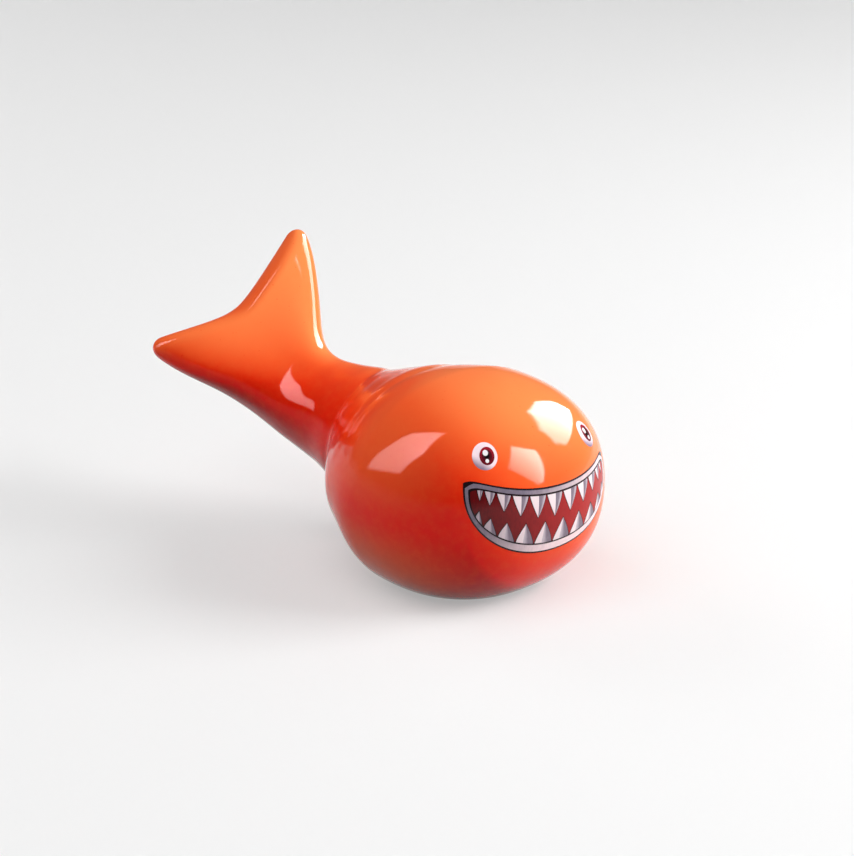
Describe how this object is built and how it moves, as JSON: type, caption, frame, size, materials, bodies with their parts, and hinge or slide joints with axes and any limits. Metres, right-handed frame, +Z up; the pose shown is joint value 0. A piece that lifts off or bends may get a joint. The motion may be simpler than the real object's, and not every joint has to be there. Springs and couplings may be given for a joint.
{
  "type": "chopstick rest",
  "caption": "Glazed ceramic whale chopstick rest: round head with a printed toothy grin, a saddle behind it for the sticks and a raised two-lobed tail.",
  "frame": {"origin": "middle of the flat foot under the head", "axes": "+X forward through the face, +Y to the animal's left, +Z up"},
  "size_m": [0.0618, 0.0381, 0.038],
  "materials": {
    "clay": "bare fired white clay, matt",
    "slip": "fired joining slip, matt",
    "orange_glaze": "glossy orange glaze",
    "print_dark": "fired-on dark line print, glossy",
    "print_lilac": "fired-on lilac-grey print, glossy",
    "print_throat": "fired-on dark red print, glossy",
    "print_tooth": "fired-on pinkish-white print, glossy",
    "print_tooth_shade": "fired-on grey print, glossy",
    "print_eye": "fired-on pinkish-white print, glossy",
    "print_iris": "fired-on dark red print, glossy",
    "print_pupil": "fired-on black print, glossy",
    "print_glint": "fired-on white print, glossy"
  },
  "bodies": {
    "root": {"head_body": "clay", "tail_body": "clay", "joining_slip": "slip", "glaze_coat": "orange_glaze", "mouth_outline": "print_dark", "mouth_lips": "print_lilac", "mouth_throat": "print_throat", "upper_teeth": "print_tooth", "lower_teeth": "print_tooth", "tooth_shading": "print_tooth_shade", "eye_whites": "print_eye", "irises": "print_iris", "pupils": "print_pupil", "eye_glints": "print_glint"}
  },
  "joints": []
}
